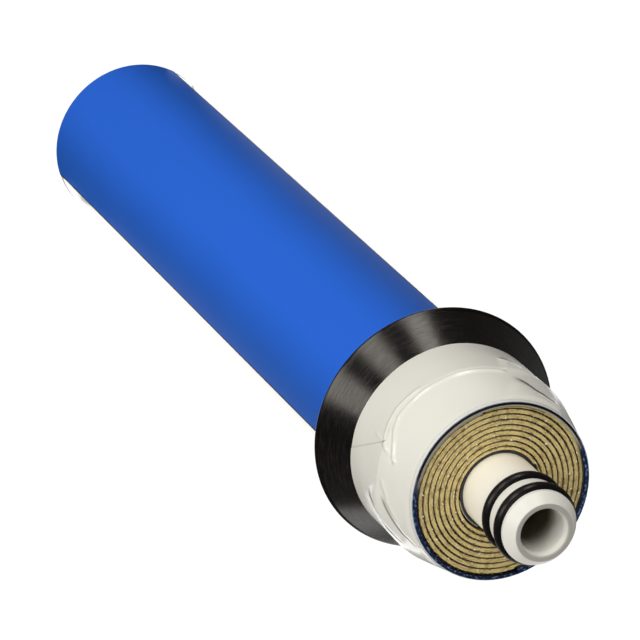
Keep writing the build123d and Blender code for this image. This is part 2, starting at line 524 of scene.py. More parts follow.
@dataclass(frozen=True)
class LabelFinish(Finish):
    """Blue film: painted shade deepens the blue towards its two long edges, which show as a thin dark
    line.

    Its arcs are in degrees. Drift and cloud move the line where the painted shade starts to deepen the
    blue.
    """

    # The deep blue is painted shade, towards the film's long edges.
    side_shade: Colour = (0.017, 0.105, 0.48)
    edge: Colour = (0.003, 0.012, 0.035)
    middle_bearing: float = -4.75
    side_shade_bearings: Point2 = (12, 62)
    half_arc: float = 69.25
    edge_arc: float = 1.0
    drift_scale: float = 28.0
    drift: float = 0.16
    cloud_scale: float = 30.0
    cloud: float = 0.2
    ripple_scale: float = 90.0
    ripple: float = 0.00006

    def draw(self, sketch: Sketch) -> None:
        """Draws the painted shade across the film, its dark edges and its ripple.

        Args:
            sketch: The material.
        """
        bearing, _, height = sketch.wrapped()
        drift = sketch.noise(sketch.vector(0.0, 0.0, height), self.drift_scale)
        cloud = sketch.noise(sketch.place, self.cloud_scale)
        away = sketch.maths("ABSOLUTE", sketch.minus(bearing, math.radians(self.middle_bearing)))
        start, end = (math.radians(arc) for arc in self.side_shade_bearings)
        # Painted shade: the blue deepens with the angle from the film's middle, where the film turns
        # from the light.
        side_shade_share = sketch.span(sketch.plus(away, sketch.sway(drift, self.drift)), start, end)
        mottled = sketch.maths("ADD", side_shade_share, sketch.sway(cloud, self.cloud), clamp=True)
        rim = sketch.span(away, math.radians(self.half_arc - 2 * self.edge_arc),
                          math.radians(self.half_arc - self.edge_arc))
        blue = sketch.mix(mottled, self.colour, self.side_shade)
        sketch.set(base_color=sketch.mix(rim, blue, self.edge))
        sketch.bump(sketch.noise(sketch.place, self.ripple_scale), self.ripple)


@dataclass(frozen=True)
class RubberFinish(Finish):
    """Black rubber with fine rings left by its turning and a dusty bloom in places.

    The stretches are metres along a ring for each radian, so small ones make long marks.
    """

    bloom: Colour = (0.034, 0.027, 0.021)
    sheen_tint: Colour = (1.0, 0.93, 0.85)
    ring_scale: float = 5200.0
    ring_stretch: float = 0.0012
    ring_depth: float = 0.000005
    streak_scale: float = 1500.0
    streak_stretch: float = 0.004
    patch_scale: float = 1.6
    bloom_amount: float = 0.4
    polish: float = 0.05
    dulling: float = 0.08

    def draw(self, sketch: Sketch) -> None:
        """Draws the turned rings, the streaks along them and the bloom.

        Args:
            sketch: The material.
        """
        bearing, radius, height = sketch.wrapped()
        run = sketch.minus(radius, height)
        turned = sketch.vector(sketch.times(bearing, self.ring_stretch), run, 0.0)
        rings = sketch.noise(turned, self.ring_scale, 3.0, 0.6)
        drawn = sketch.vector(sketch.times(bearing, self.streak_stretch), run, 0.0)
        streak = sketch.noise(drawn, self.streak_scale, 3.0, 0.7)
        patch = sketch.noise(sketch.vector(bearing, 0.0, 0.0), self.patch_scale, 1.0)
        dusty = sketch.times(sketch.span(streak, 0.4, 0.72), sketch.span(patch, 0.35, 0.7))
        share = sketch.times(dusty, self.bloom_amount)
        sketch.set(
            base_color=sketch.mix(share, self.colour, self.bloom),
            specular_tint=self.sheen_tint,
            roughness=sketch.span(streak, 0.25, 0.75, self.roughness - self.polish,
                                  self.roughness + self.dulling),
        )
        sketch.bump(rings, self.ring_depth)


@dataclass(frozen=True)
class MouldedFinish(Finish):
    """Moulded off-white plastic: painted light makes its root lighter and warmer and lightens its
    bore's mouth, painted shade darkens deep in its bore, and its flat end is a darker grey.

    A pair of blurs says how far from an area's border it starts and ends to fade.
    """

    cloud: Colour = (0.81, 0.775, 0.665)
    cloud_scale: float = 110.0
    # The root colour is painted light: the tube near the roll is lighter and warmer, where the collar
    # and roll keep light off it.
    root_light: Colour = (0.955, 0.90, 0.765)
    root_light_height: float = 0.2635
    root_light_blur: float = 0.002
    # The end colour makes the flat end a darker grey than the rest.
    end: Colour = (0.53, 0.515, 0.455)
    end_height: float = 0.2786
    end_height_blur: Point2 = (-0.0004, -0.0001)
    end_radius: float = 0.0072
    end_radius_blur: Point2 = (0.0001, -0.0002)
    # The mouth colour is painted light on the bore's wall near its mouth.
    mouth_light: Colour = (0.95, 0.93, 0.84)
    bore_radius: float = 0.0056
    bore_blur: float = 0.0003
    # The stain colour is painted shade that darkens the bore with depth, not a real stain.
    stain: Colour = (0.165, 0.145, 0.09)
    bore_shade_depth: Point2 = (0.0045, 0.0115)
    bore_shade_sway: float = 0.004
    grain_scale: float = 3200.0
    grain_depth: float = 0.00002
    polish: float = 0.06
    dulling: float = 0.08
    glow: float = 0.06
    glow_depth: float = 0.002

    def draw(self, sketch: Sketch) -> None:
        """Draws the clouds of colour, the painted light on the root and in the bore's mouth, the darker
        end, the painted shade deep in the bore and the grain.

        Args:
            sketch: The material.
        """
        _, radius, height = sketch.wrapped()
        clouds = sketch.noise(sketch.place, self.cloud_scale, 4.0, 0.6)
        grain = sketch.noise(sketch.place, self.grain_scale, 3.0, 0.6)
        white = sketch.mix(sketch.span(clouds, 0.42, 0.78), self.colour, self.cloud)
        # Painted light lightens and warms the tube's root.
        root = sketch.span(height, self.root_light_height + self.root_light_blur,
                           self.root_light_height - self.root_light_blur)
        root_lit = sketch.mix(root, white, self.root_light)
        faced = sketch.times(
            sketch.span(height, *(self.end_height + blur for blur in self.end_height_blur)),
            sketch.span(radius, *(self.end_radius + blur for blur in self.end_radius_blur)),
        )
        mouth = sketch.span(radius, self.bore_radius + self.bore_blur, self.bore_radius)
        # Painted light lightens the bore's mouth.
        grey_end_lit_mouth = sketch.mix(mouth, sketch.mix(faced, root_lit, self.end), self.mouth_light)
        # Painted shade darkens the bore with its depth below the end.
        depth = sketch.minus(self.end_height, height)
        reach = sketch.plus(depth, sketch.sway(clouds, self.bore_shade_sway))
        stained = sketch.times(sketch.span(reach, *self.bore_shade_depth), mouth)
        sketch.set(
            base_color=sketch.mix(stained, grey_end_lit_mouth, self.stain),
            roughness=sketch.span(grain, 0.2, 0.8, self.roughness - self.polish,
                                  self.roughness + self.dulling),
            subsurface_weight=self.glow,
            subsurface_scale=self.glow_depth,
        )
        sketch.bump(grain, self.grain_depth)


@dataclass(frozen=True)
class SheetFinish(Finish):
    """Cut edge of a wound sheet: mottled along the sheet, with darker stains and pale fibres."""

    stain: Colour = (0.20, 0.14, 0.05)
    stain_share: float = 0.6
    stain_scale: float = 420.0
    fibre: Colour = (0.80, 0.74, 0.55)
    fibre_share: float = 0.5
    fibre_scale: float = 2400.0
    fibre_height: float = 0.00006

    def draw(self, sketch: Sketch) -> None:
        """Draws the mottling, the stains and the fibres.

        Args:
            sketch: The material.
        """
        mottle = sketch.noise(sketch.place, self.stain_scale, 4.0, 0.65)
        fine = sketch.noise(sketch.place, self.fibre_scale, 3.0, 0.6)
        blots = sketch.times(sketch.span(mottle, 0.44, 0.66), self.stain_share)
        stained = sketch.mix(blots, self.colour, self.stain)
        fibres = sketch.times(sketch.span(fine, 0.56, 0.72), self.fibre_share)
        sketch.set(base_color=sketch.mix(fibres, stained, self.fibre))
        sketch.bump(fine, self.fibre_height)


@dataclass(frozen=True)
class FilmFinish(Finish):
    """Dark blue film over net, with a dull ply in the net's place over part of its turn and a
    near-black outer ring, partly the film's dark edge and partly painted shade.

    The ply runs from plain_first to plain_last, in degrees. The roll's last turn inside the film
    is two half circles of turn_radius about centres that lie 2 * centre apart, split by a plane.
    """

    fleck: Colour = (0.22, 0.34, 0.55)
    fleck_share: float = 0.9
    fleck_scale: float = 1500.0
    fleck_around: float = 0.013
    fleck_rise: float = 0.2
    fleck_height: float = 0.0002
    ply: Colour = (0.50, 0.46, 0.36)
    fibre_share: float = 0.4
    fibre_scale: float = 1900.0
    # The near-black skin colour also paints the outer ring, partly the film's dark edge and partly
    # painted shade at the roll's rim.
    skin: Colour = (0.003, 0.005, 0.012)
    rim_shade_radius: float = 0.02170
    rim_shade_blur: Point2 = (-0.00012, 0.00004)
    rim_shade_share: float = 0.35
    plain_first: float = -108.0
    plain_last: float = 34.0
    plain_blur: float = 0.12
    seam: float = 0.00022
    seam_blur: float = 0.00008
    turn_radius: float = 0.021045
    centre: float = 0.000335
    half_plane: float = 60.0

    def depth(self, sketch: Sketch) -> Socket:
        """Measures out from the roll's last turn.

        Args:
            sketch: The material.

        Returns:
            The distance outside it.
        """
        x, y, _ = sketch.axes()
        turn = math.radians(self.half_plane)
        cosine, sine = math.cos(turn), math.sin(turn)
        along = sketch.plus(sketch.times(x, cosine), sketch.times(y, sine))
        across = sketch.minus(sketch.times(y, cosine), sketch.times(x, sine))
        near = sketch.maths("GREATER_THAN", across, 0.0)
        shift = sketch.maths("MULTIPLY_ADD", near, 2 * self.centre, -self.centre)
        return sketch.minus(sketch.length(sketch.plus(along, shift), across), self.turn_radius)

    def draw(self, sketch: Sketch) -> None:
        """Draws the flecks, longer round the roll than across it, the dull ply, and the near-black
        outer ring that is partly the film's dark edge and partly painted shade.

        Args:
            sketch: The material.
        """
        bearing, radius, height = sketch.wrapped()
        around = sketch.vector(sketch.times(bearing, self.fleck_around), radius,
                               sketch.times(height, self.fleck_rise))
        flecks = sketch.noise(around, self.fleck_scale, 2.0, 0.6)
        netted = sketch.mix(sketch.times(sketch.span(flecks, 0.54, 0.63), self.fleck_share),
                            self.colour, self.fleck)
        first, last = math.radians(self.plain_first), math.radians(self.plain_last)
        plain = sketch.times(
            sketch.span(bearing, first - self.plain_blur, first + self.plain_blur),
            sketch.span(bearing, last + self.plain_blur, last - self.plain_blur),
        )
        fibres = sketch.noise(sketch.place, self.fibre_scale, 3.0, 0.6)
        dull = sketch.mix(sketch.times(sketch.span(fibres, 0.5, 0.75), self.fibre_share),
                          self.ply, self.skin)
        seam = sketch.span(self.depth(sketch), self.seam + self.seam_blur,
                           self.seam - self.seam_blur)
        inner = sketch.mix(plain, sketch.mix(seam, netted, self.skin), dull)
        # Painted shade: the outer ring goes near-black, fully over the dull ply and partly elsewhere,
        # over the film's own dark edge.
        rim_shade_cover = sketch.plus(self.rim_shade_share, sketch.times(plain, 1 - self.rim_shade_share))
        face = sketch.span(radius, *(self.rim_shade_radius + blur for blur in self.rim_shade_blur))
        sketch.set(base_color=sketch.mix(sketch.times(face, rim_shade_cover), inner, self.skin))
        sketch.bump(flecks, self.fleck_height)


class Fold(Enum):
    """How a crease in the tape is shaped across its run."""

    RIDGE = "ridge"
    LAP = "lap"
    PLEAT = "pleat"
    FLANK = "flank"

    @property
    def reach(self) -> float:
        """Distance beyond which such a crease leaves the tape as it is, in widths."""
        return {Fold.FLANK: 8.0, Fold.LAP: 14.0}.get(self, 5.0)

    @property
    def taper(self) -> float:
        """Distance over which such a crease grows from each end of its run, in widths."""
        return 1.2 if self is Fold.FLANK else 3.0


@dataclass(frozen=True)
class Crease:
    """A crease in the tape: a run of points as (bearing, millimetres behind the rim).

    Its height and width are in millimetres. Its darkness is shade painted along it, or a dark mark
    where it is the seam, and smear is how far that spreads, in widths. The other fields shape one
    kind each: a flank's gutter and crest, a lap's back and a pleat's dip.
    """

    fold: Fold
    run: tuple[Point2, ...]
    height: float
    width: float
    shade_and_grime: float = 0.0
    smear: float = 0.55
    gutter: float = 0.4
    gutter_start: float = 8.0
    gutter_end: float = 2.5
    crest: float = 1.5
    crest_end: float = 6.0
    flank_shade_shift: float = -0.1
    lap_slope: float = 1.5
    lap_end: float = 2.5
    dip: float = 0.55
    dip_place: float = 1.6

    @property
    def reach(self) -> float:
        """Distance beyond which the crease leaves the tape as it is, in millimetres."""
        return self.fold.reach * self.width

    def covers(self, bearing: float, girth: float) -> bool:
        """Tells whether the crease can reach a bearing.

        Args:
            bearing: The bearing, in degrees.
            girth: The tape's radius there, in millimetres.

        Returns:
            True if it can.
        """
        margin = math.degrees(self.reach / girth)
        bearings = [place for place, _ in self.run]
        return min(bearings) - margin < bearing < max(bearings) + margin

    def nearest(self, bearing: float, behind: float, girth: float) -> tuple[float, float]:
        """Measures from a place on the tape to the run, in millimetres.

        Args:
            bearing: The place's bearing, in degrees.
            behind: How far it lies behind the rim, in millimetres.
            girth: The tape's radius there, in millimetres.

        Returns:
            The distance, negative on the run's right side, and how full the crease is there.
        """
        scale = math.radians(girth)
        best, place, passed = math.inf, 0.0, 0.0
        for (a0, b0), (a1, b1) in zip(self.run, self.run[1:]):
            dx, dy = (a1 - a0) * scale, b1 - b0
            px, py = (bearing - a0) * scale, behind - b0
            length = math.hypot(dx, dy)
            held = min(max((px * dx + py * dy) / length ** 2, 0.0), 1.0)
            gap = math.hypot(px - held * dx, py - held * dy)
            if gap < abs(best):
                best = gap if dx * py - dy * px > 0 else -gap
                place = passed + held * length
            passed += length
        return best, smooth_step(min(place, passed - place) / (self.fold.taper * self.width))

    def shade_and_grime_at(self, gap: float) -> float:
        """How dark the shade painted along the crease, or a seam's dark mark, is at a signed distance
        from its run, from 0 to 1.
        """
        middle = self.flank_shade_shift * self.width if self.fold is Fold.FLANK else 0.0
        return self.shade_and_grime * math.exp(-(((gap - middle) / (self.smear * self.width)) ** 2))

    def profile(self, across: float) -> float:
        """Height of the crease for a height of 1.

        Args:
            across: The signed distance from its run, in widths.

        Returns:
            The height.
        """
        if self.fold is Fold.FLANK and across < 0:
            rise = smooth_step(-self.gutter_start * across)
            return self.gutter * rise * math.exp(self.gutter_end * across)
        if self.fold is Fold.FLANK:
            rise = min(across, 1.0)
            fade = math.exp(-max(across - 1.0, 0.0) ** 2 / self.crest_end)
            return self.crest * (rise - rise ** 3 / 3) * fade
        if self.fold is Fold.LAP:
            rise = smooth_step(0.5 + self.lap_slope * across)
            return rise * math.exp(-max(across, 0.0) / self.lap_end)
        bell = math.exp(-across * across)
        if self.fold is Fold.PLEAT:
            return bell - self.dip * math.exp(-((across - self.dip_place) ** 2))
        return bell

    def lift(self, gap: float) -> float:
        """How far the crease raises the tape at a signed distance from its run, in millimetres."""
        return self.height * self.profile(gap / self.width)


def stations(first: Point2, last: Point2, steps: int) -> list[Point2]:
    """Spaces stations evenly on a straight run.

    Args:
        first: Radius and height of the first.
        last: Radius and height of the last.
        steps: Steps between them.

    Returns:
        The stations, both ends with them.
    """
    (radius, height), (last_radius, last_height) = first, last
    return [
        (radius + (last_radius - radius) * step / steps, height + (last_height - height) * step / steps)
        for step in range(steps + 1)
    ]


@dataclass
class TapeWork:
    """White tape: over the body, round the seal's band, and the collar that ramps to the rim.

    The tape round the band ends in a lap, whose edge starts at lap_start degrees where it is
    lap_behind millimetres behind the rim and runs on by lap_slope degrees for each millimetre.
    """

    rim_height: float = 254.0
    collar_front: float = 252.7
    collar_front_radius: float = 22.72
    ramp_foot: float = 239.52
    lap_radius: float = 25.42
    lap_rear: float = 237.9
    band_radius: float = 25.25
    band_front: float = 239.5
    band_rear: float = 223.4
    thickness: float = 0.2
    edge_drop: float = 0.14
    tape_radius: float = 22.52
    steps: int = 720
    ramp_steps: int = 60
    lap_steps: int = 7
    band_steps: int = 64
    creases: tuple[Crease, ...] = (
        Crease(Fold.PLEAT, ((-58, 12.8), (-35, 14.1), (-10, 15.0), (8, 15.0), (16, 13.4),
                            (21, 11.8), (27, 10.4), (32, 8.6)), 0.4, 0.6, 0.1),
        Crease(Fold.RIDGE, ((-12, 17.2), (6, 18.0), (13, 17.4), (19, 16.5), (24, 14.9),
                            (28, 12.6)), 0.26, 0.5),
        Crease(Fold.RIDGE, ((25.6, 15.8), (22.4, 14.4)), 0.03, 0.26, 0.95),
        Crease(Fold.RIDGE, ((41, 30.2), (32, 22.2), (23, 14.4)), 0.0, 0.16, 0.5),
        Crease(Fold.RIDGE, ((23, 21), (25, 16), (27.5, 12.5), (30, 8)), 0.11, 0.4),
        Crease(Fold.FLANK, ((-60, 22.6), (-65.5, 21.8), (-70, 20.8), (-73.5, 19.6), (-76, 17.6),
                            (-79, 14.5)), 0.46, 2.2, 1.0, 0.2),
        Crease(Fold.FLANK, ((-58, 11.0), (-66, 8.8), (-71, 7.0), (-79, 5.8), (-90, 5.6)),
               0.5, 2.6, 1.0, 0.16),
        Crease(Fold.FLANK, ((86, 10.5), (74.5, 14.0), (64.5, 17.2), (54, 20.4)),
               0.46, 2.2, 1.0, 0.18),
        Crease(Fold.FLANK, ((84, 3.6), (71, 6.9), (60.5, 9.8), (51, 12.4)), 0.42, 2.2, 0.8, 0.15),
        Crease(Fold.RIDGE, ((42, 13.0), (56, 8.6), (66, 5.2)), 0.2, 0.6, 0.1),
        Crease(Fold.RIDGE, ((84, 4.5), (92, 3.0), (99, 2.0)), 0.3, 0.45, 0.2),
        Crease(Fold.LAP, ((-92, 20.0), (-110, 17.0), (-130, 14.6)), 0.4, 0.4, 0.3),
        Crease(Fold.PLEAT, ((-118, 14.5), (-150, 15.3), (-179, 14.2)), 0.34, 0.6),
        Crease(Fold.PLEAT, ((179, 14.2), (150, 15.4), (122, 14.0)), 0.34, 0.6),
        Crease(Fold.LAP, ((150, 24.0), (138, 17.0), (120, 9.0)), 0.35, 0.4, 0.3),
        Crease(Fold.RIDGE, ((-140, 9.0), (-152, 5.0), (-160, 2.8)), 0.25, 0.5),
    )
    slack: float = 0.12
    slack_around: float = 3.0
    slack_along: float = 0.12
    slack_seed: float = 4.0
    front_fade: float = 1.5
    lap_step: float = 0.12
    lap_blur: float = 0.2
    lap_start: float = 23.0
    lap_behind: float = 14.2
    lap_slope: float = 17.0 / 15.0
    lap_end: float = 171.0
    feather: float = 0.6
    white: TapeFinish = TapeFinish("white_tape", (0.88, 0.863, 0.765), 0.28)

    def lap(self, bearing: float, behind: float, girth: float) -> float:
        """Raises the tape where the tape of the band laps over itself.

        Args:
            bearing: The place's bearing, in degrees.
            behind: How far it lies behind the rim, in millimetres.
            girth: The tape's radius there, in millimetres.

        Returns:
            How far it stands off, in millimetres.
        """
        start = self.lap_start + (behind - self.lap_behind) * self.lap_slope
        scale = math.radians(girth) / self.lap_blur
        rise = smooth_step(0.5 + (bearing - start) * scale)
        return self.lap_step * (rise - smooth_step(0.5 + (bearing - self.lap_end) * scale))

    def relief(self, bearing: float, height: float, girth: float) -> tuple[float, float]:
        """Finds how the tape departs from its smooth form at a place.

        Args:
            bearing: The place's bearing, in degrees.
            height: Its height, in millimetres.
            girth: The tape's radius there, in millimetres.

        Returns:
            How far the tape stands off, in millimetres, and how dark its painted crease shade or seam
            mark is, from 0 to 1.
        """
        behind = self.rim_height - height
        lift, shade_and_grime = 0.0, 0.0
        for crease in self.creases:
            if not crease.covers(bearing, girth):
                continue
            gap, full = crease.nearest(bearing, behind, girth)
            if abs(gap) > crease.reach:
                continue
            lift += crease.lift(gap) * full
            shade_and_grime = max(shade_and_grime, crease.shade_and_grime_at(gap) * full)
        if behind > self.rim_height - self.lap_rear:
            lift += self.lap(bearing, behind, girth)
        around = bearing_point(self.slack_around, bearing + 90, height * self.slack_along)
        lift += self.slack * wobble(*around, self.slack_seed)
        return lift * smooth_step((self.collar_front - height) / self.front_fade), shade_and_grime

    def skin(self, name: str, run: Sequence[Point2]) -> bpy.types.Object:
        """Lays a skin of tape, creased outside and plain inside.

        Args:
            name: The piece's name.
            run: Stations down the skin's outer side, as (radius, height) in millimetres.

        Returns:
            The closed piece.
        """
        points, shades_and_grimes = [], []
        for step in range(self.steps):
            bearing = 360 * step / self.steps - 180
            for radius, height in run:
                lift, shade_and_grime = self.relief(bearing, height, radius)
                points.append(bearing_point((radius + lift) * MM, bearing, height * MM))
                shades_and_grimes.append(shade_and_grime)
            for radius, height in reversed(run):
                inside = max(radius - self.thickness, self.tape_radius)
                points.append(bearing_point(inside * MM, bearing, height * MM))
                shades_and_grimes.append(0.0)
        faces = strip_faces(self.steps, 2 * len(run), True)
        piece = make_piece(name, points, faces, THIN_SHARP_ANGLE)
        # The mesh holds the painted crease shade and the seam's dark marks for the tape's finish.
        piece.data.attributes.new(SHADE_AND_GRIME, "FLOAT", "POINT").data.foreach_set("value", shades_and_grimes)
        return piece

    def build(self) -> list[bpy.types.Object]:
        """Builds the collar and the tape round the band.

        Returns:
            The two skins.
        """
        edge = (self.collar_front_radius - self.edge_drop, self.collar_front)
        head = (self.collar_front_radius, self.collar_front - self.feather)
        foot = (self.lap_radius, self.ramp_foot)
        ramp = stations(head, foot, self.ramp_steps)
        lap = stations(foot, (self.lap_radius, self.lap_rear), self.lap_steps)
        collar = self.skin("collar_tape_skin", [edge] + ramp + lap[1:])
        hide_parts("collar_tape")
        band = self.skin("seal_tape_skin", stations((self.band_radius, self.band_front),
                                                    (self.band_radius, self.band_rear),
                                                    self.band_steps))
        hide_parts("seal_tape")
        return [collar, band]

    def dress(self, skins: Sequence[bpy.types.Object], nodes: dict[str, bpy.types.Object]) -> None:
        """Puts the white tape's finish on its skins and on the body's tape.

        Args:
            skins: The collar and the tape round the band.
            nodes: The solid model's pieces.
        """
        self.white.dress(*skins, nodes["body_tape"])


@dataclass
class BlueLabel:
    """Plain blue film on the side that faces -Y, with slightly ragged long edges."""

    inner_radius: float = 22.52
    thickness: float = 0.1
    first_bearing: float = -74.0
    last_bearing: float = 64.5
    bottom: float = 0.4
    top: float = 217.0
    ragged: float = 0.35
    rag_scale: float = 0.9
    columns: int = 120
    rows: int = 400
    blue: LabelFinish = LabelFinish("blue_film", (0.027, 0.146, 0.715), 0.6, 0.05)

    def edge(self, bearing: float, shift: float, height: float) -> float:
        """Bearing of a ragged long edge at a height in millimetres."""
        return bearing + self.ragged * wobble(shift, 0.0, height * self.rag_scale, 3.0)

    def build(self) -> bpy.types.Object:
        """Builds the film as a thin shell.

        Returns:
            The film.
        """
        points, faces = [], []
        for row in range(self.rows + 1):
            height = self.bottom + (self.top - self.bottom) * row / self.rows
            low = self.edge(self.first_bearing, 0.0, height)
            high = self.edge(self.last_bearing, 5.0, height)
            for radius in (self.inner_radius, self.inner_radius + self.thickness):
                for column in range(self.columns + 1):
                    bearing = low + (high - low) * column / self.columns
                    points.append(bearing_point(radius * MM, bearing, height * MM))
        layer = self.columns + 1
        row_size = 2 * layer
        for here in range(0, self.rows * row_size, row_size):
            for column in range(self.columns):
                for first in (here + column, here + column + layer):
                    faces.append((first, first + 1, first + 1 + row_size, first + row_size))
            for first in (here, here + self.columns):
                faces.append((first, first + layer, first + layer + row_size, first + row_size))
        for here in (0, self.rows * row_size):
            for first in range(here, here + self.columns):
                faces.append((first, first + 1, first + 1 + layer, first + layer))
        label = make_piece("blue_label_film", points, faces)
        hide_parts("label_film")
        return label

    def dress(self, label: bpy.types.Object) -> None:
        """Puts the blue film's finish on it."""
        self.blue.dress(label)


@dataclass
class BrineSeal:
    """Moulded rubber seal: a flat band and a thin lip that flares out towards the plain end."""

    inner_radius: float = 22.52
    band_radius: float = 25.0
    front: float = 239.5
    front_round: float = 0.5
    root: float = 223.4
    root_round: float = 0.3
    rear: float = 218.5
    rear_round: float = 0.3
    lip_length: float = 10.0
    lip_reach: float = 5.95
    lip_thickness: float = 1.4
    heel_thickness: float = 0.95
    notch_depth: float = 2.7
    notch_width: float = 0.15
    notch_round: float = 0.05
    edge_round: float = 0.56
    rim_run: float = 1.2
    rim_turn: float = 13.0
    rim_round: float = 0.4
    segments: int = 360
    rubber: RubberFinish = RubberFinish("seal_rubber", (0.0032, 0.0027, 0.0023), 0.21, 0.58)

    @property
    def slope(self) -> float:
        """Length of the lip's outer face, in millimetres."""
        return math.hypot(self.lip_length, self.lip_reach)

    def on_lip(self, run: float, depth: float, fillet: float) -> Corner:
        """Places a corner of the lip, all in millimetres.

        Args:
            run: Distance down the lip's outer face.
            depth: Depth behind that face.
            fillet: The corner's round.

        Returns:
            The corner.
        """
        out = (run * self.lip_reach - depth * self.lip_length) / self.slope
        down = (run * self.lip_length + depth * self.lip_reach) / self.slope
        return Corner(self.band_radius + out, self.root - down, fillet)

    def build(self) -> bpy.types.Object:
        """Turns the seal's section, with its moulded rounds.

        Returns:
            The seal.
        """
        heel = self.inner_radius + self.heel_thickness
        notch = self.root - self.notch_depth
        flare = math.atan2(self.lip_reach, self.lip_length)
        rim = flare + math.radians(self.rim_turn)
        rim_reach = self.rim_run * math.sin(rim) / math.sin(flare)
        bend = self.on_lip(self.slope - rim_reach, 0.0, self.rim_round)
        rim_height = bend.height - self.rim_run * math.cos(rim)
        outline = rounded([
            Corner(self.inner_radius, self.front),
            Corner(self.band_radius, self.front, self.front_round),
            Corner(self.band_radius, self.root, self.root_round),
            bend,
            Corner(self.band_radius + self.lip_reach, rim_height, self.edge_round),
            self.on_lip(self.slope, self.lip_thickness, self.edge_round),
            Corner(heel + self.notch_width, notch, self.notch_round),
            Corner(heel, notch),
            Corner(heel, self.rear, self.rear_round),
            Corner(self.inner_radius, self.rear),
        ])
        seal = lathe("brine_seal_rubber", outline, self.segments)
        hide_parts("brine_seal")
        return seal

    def dress(self, seal: bpy.types.Object) -> None:
        """Puts the rubber's finish on it."""
        self.rubber.dress(seal)


@dataclass
class PermeateTube:
    """Moulded tube with its grooved nose, its O-rings and the plug in its plain end."""

    radius: float = 9.2
    bore: float = 5.5
    length: float = 278.6
    seat_radius: float = 6.2
    seat_depth: float = 14.05
    groove_floor: float = 7.2
    groove_width: float = 3.6
    groove_lip_round: float = 0.15
    groove_floor_round: float = 0.25
    ring_heights: Point2 = (266.45, 273.0)
    tip_chamfer_length: float = 2.8
    tip_chamfer_width: float = 2.0
    countersink_depth: float = 1.6
    countersink_width: float = 0.5
    tip_round: float = 0.5
    end_round: float = 0.35
    segments: int = 192
    hole_radius: float = 1.0
    hole_margin: float = 32.0
    hole_stations: int = 6
    hole_segments: int = 32
    body_length: float = 254.0
    plastic: MouldedFinish = MouldedFinish("tube_plastic", (0.865, 0.84, 0.745), 0.36)
    ring_rubber: RubberFinish = RubberFinish("o_ring_rubber", (0.007, 0.0055, 0.006), 0.27, 0.3,
                                             bloom_amount=0.04)

    def build(self) -> bpy.types.Object:
        """Turns the tube and drills its cross holes.

        Returns:
            The tube.
        """
        corners = [
            Corner(self.bore, self.seat_depth),
            Corner(self.seat_radius, self.seat_depth),
            Corner(self.seat_radius, 0),
            Corner(self.radius, 0),
        ]
        for height in self.ring_heights:
            rear, front = height - self.groove_width / 2, height + self.groove_width / 2
            corners += [
                Corner(self.radius, rear, self.groove_lip_round),
                Corner(self.groove_floor, rear, self.groove_floor_round),
                Corner(self.groove_floor, front, self.groove_floor_round),
                Corner(self.radius, front, self.groove_lip_round),
            ]
        corners += [
            Corner(self.radius, self.length - self.tip_chamfer_length, self.tip_round),
            Corner(self.radius - self.tip_chamfer_width, self.length, self.end_round),
            Corner(self.bore + self.countersink_width, self.length, self.end_round),
            Corner(self.bore, self.length - self.countersink_depth, self.tip_round),
        ]
        tube = lathe("permeate_tube_nose", rounded(corners), self.segments)
        self.drill(tube)
        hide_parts("permeate_tube")
        return tube

    def drill(self, tube: bpy.types.Object) -> None:
        """Cuts the cross holes that lie under the roll.

        Args:
            tube: The tube.
        """
        cutter_mesh = bpy.data.meshes.new("drills")
        drills = bmesh.new()
        pitch = (self.body_length - 2 * self.hole_margin) / (self.hole_stations - 1)
        lay = Matrix.Rotation(math.radians(90), 4, "X")
        for station in range(self.hole_stations):
            turn = Matrix.Rotation(math.radians(90 * (station % 2)), 4, "Z")
            rise = Matrix.Translation((0, 0, (self.hole_margin + station * pitch) * MM))
            bmesh.ops.create_cone(drills, cap_ends=True, segments=self.hole_segments,
                                  radius1=self.hole_radius * MM, radius2=self.hole_radius * MM,
                                  depth=4 * self.radius * MM, matrix=rise @ turn @ lay)
        drills.to_mesh(cutter_mesh)
        drills.free()
        cutter = bpy.data.objects.new("drills", cutter_mesh)
        bpy.context.scene.collection.objects.link(cutter)
        cut = tube.modifiers.new("cross_holes", "BOOLEAN")
        cut.object = cutter
        cut.solver = "EXACT"
        graph = bpy.context.evaluated_depsgraph_get()
        drilled = bpy.data.meshes.new_from_object(tube.evaluated_get(graph))
        tube.modifiers.clear()
        tube.data = drilled
        tube.data.set_sharp_from_angle(angle=math.radians(SHARP_ANGLE))
        bpy.data.objects.remove(cutter)

    def dress(self, tube: bpy.types.Object, nodes: dict[str, bpy.types.Object]) -> None:
        """Finishes the tube, its plug and its O-rings.

        Args:
            tube: The tube.
            nodes: The solid model's pieces.
        """
        self.plastic.dress(tube, nodes["tube_plug"])
        self.ring_rubber.dress(nodes["front_o_ring"], nodes["rear_o_ring"])


@dataclass(frozen=True)
class Spiral:
    """One face of a wound sheet: half circles about two centres, as the solid model winds it."""

    start: float
    pitch: float = 1.34
    start_angle: float = 60.0

    def point(self, turns: float) -> Vector:
        """Places a point of the face.

        Args:
            turns: How many turns along the face it lies.

        Returns:
            The point, in millimetres and seen from the nose.
        """
        index = math.floor(2 * turns)
        side = 1 if index % 2 else -1
        radius = self.start + self.pitch / 4 + index * self.pitch / 2
        angle = math.radians(180 * (index % 2 + 2 * turns - index))
        spot = Vector((side * self.pitch / 4 + radius * math.cos(angle), radius * math.sin(angle)))
        spot.rotate(Matrix.Rotation(math.radians(self.start_angle), 2))
        return spot


